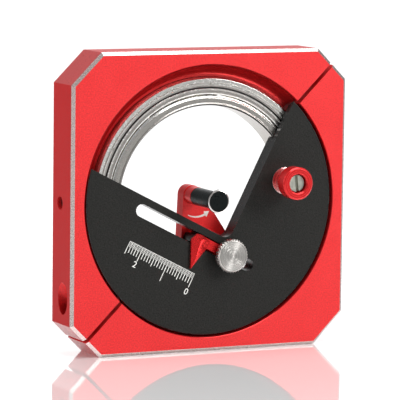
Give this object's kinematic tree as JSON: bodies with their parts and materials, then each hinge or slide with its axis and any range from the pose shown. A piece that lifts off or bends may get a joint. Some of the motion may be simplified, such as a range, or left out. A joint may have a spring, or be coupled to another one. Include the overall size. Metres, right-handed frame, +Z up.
{
  "type": "stepless circle cutter",
  "caption": "Square hand tool that cuts circles in sheet: a ball-bearing rotor turned by a crank post carries a blade on a sliding, clamped carriage with a scale.",
  "frame": {"origin": "middle of the lower edge face that the housing stands on, at half the housing's thickness", "axes": "+Z up across the housing, -Y out of its front face (the side with the scale), +X to the right seen from the front"},
  "size_m": [0.095, 0.0259, 0.095],
  "materials": {
    "red_anodised": "bead-blasted and red anodised",
    "blasted_black": "finely blasted and black anodised, with a printed white scale",
    "holder_black": "turned and black anodised, half gloss",
    "bearing_steel": "ground and polished bearing steel",
    "shield_steel": "pressed sheet steel",
    "ball_steel": "polished balls",
    "cage_brass": "machined brass",
    "dark_screw_steel": "black oxide",
    "bright_steel": "turned, bright",
    "satin_screw_steel": "satin, passivated",
    "blade_steel": "ground blade steel"
  },
  "bodies": {
    "housing": {"housing_upper_half": "red_anodised", "housing_lower_half": "red_anodised", "clamp_screw_lower": "dark_screw_steel", "clamp_screw_upper": "dark_screw_steel", "bearing_lock_screw": "dark_screw_steel", "bearing_outer_race": "bearing_steel", "bearing_shield_front": "shield_steel", "bearing_shield_rear": "shield_steel"},
    "ball_set": {"bearing_cage": "cage_brass", "bearing_ball_01": "ball_steel", "bearing_ball_02": "ball_steel", "bearing_ball_03": "ball_steel", "bearing_ball_04": "ball_steel", "bearing_ball_05": "ball_steel", "bearing_ball_06": "ball_steel", "bearing_ball_07": "ball_steel", "bearing_ball_08": "ball_steel", "bearing_ball_09": "ball_steel", "bearing_ball_10": "ball_steel", "bearing_ball_11": "ball_steel", "bearing_ball_12": "ball_steel", "bearing_ball_13": "ball_steel", "bearing_ball_14": "ball_steel", "bearing_ball_15": "ball_steel", "bearing_ball_16": "ball_steel", "bearing_ball_17": "ball_steel"},
    "rotor": {"bearing_inner_race": "bearing_steel", "rotor_plate": "blasted_black", "crank_screw": "satin_screw_steel", "crank_washer": "bright_steel"},
    "crank": {"crank_post": "red_anodised"},
    "carriage": {"blade_carriage": "red_anodised", "guide_pin_inner": "dark_screw_steel", "guide_pin_outer": "dark_screw_steel", "clamp_stud": "bright_steel", "scale_pointer": "red_anodised", "blade_barrel": "holder_black", "return_spring": "bright_steel"},
    "clamp_washer": {"nut_washer": "bright_steel"},
    "clamp_nut": {"thumb_nut": "bright_steel"},
    "plunger": {"press_cap": "holder_black", "plunger_stem": "bright_steel", "cutting_blade": "blade_steel"}
  },
  "joints": [
    {"name": "rotor_spin", "type": "hinge", "parent": "housing", "child": "rotor", "pos_m": [0, 0, 0.0475], "axis": [0, -1, 0], "continuous": true},
    {"name": "ball_set_spin", "type": "hinge", "parent": "housing", "child": "ball_set", "pos_m": [0, 0, 0.0475], "axis": [0, -1, 0], "continuous": true},
    {"name": "crank_spin", "type": "hinge", "parent": "rotor", "child": "crank", "pos_m": [0.02578, -0.01165, 0.05316], "axis": [0, -1, 0], "continuous": true},
    {"name": "carriage_slide", "type": "slide", "parent": "rotor", "child": "carriage", "axis": [-0.891, 0, 0.454], "range_m": [-0.0026, 0.0224]},
    {"name": "washer_lift", "type": "slide", "parent": "carriage", "child": "clamp_washer", "axis": [0, -1, 0], "range_m": [0, 0.0005]},
    {"name": "nut_turn", "type": "hinge", "parent": "clamp_washer", "child": "clamp_nut", "pos_m": [0.00647, -0.00965, 0.03023], "axis": [0, -1, 0], "range_deg": [0, 360]},
    {"name": "plunger_press", "type": "slide", "parent": "carriage", "child": "plunger", "axis": [0, 1, 0], "range_m": [0, 0.001], "stiffness_N_per_m": 1500, "springref_m": -0.001, "deforming": ["return_spring"]}
  ],
  "couplings": [
    {"joint": "ball_set_spin", "follows": "rotor_spin", "ratio": 0.4623},
    {"joint": "nut_turn", "follows": "washer_lift", "rad_per_m": 12566}
  ]
}
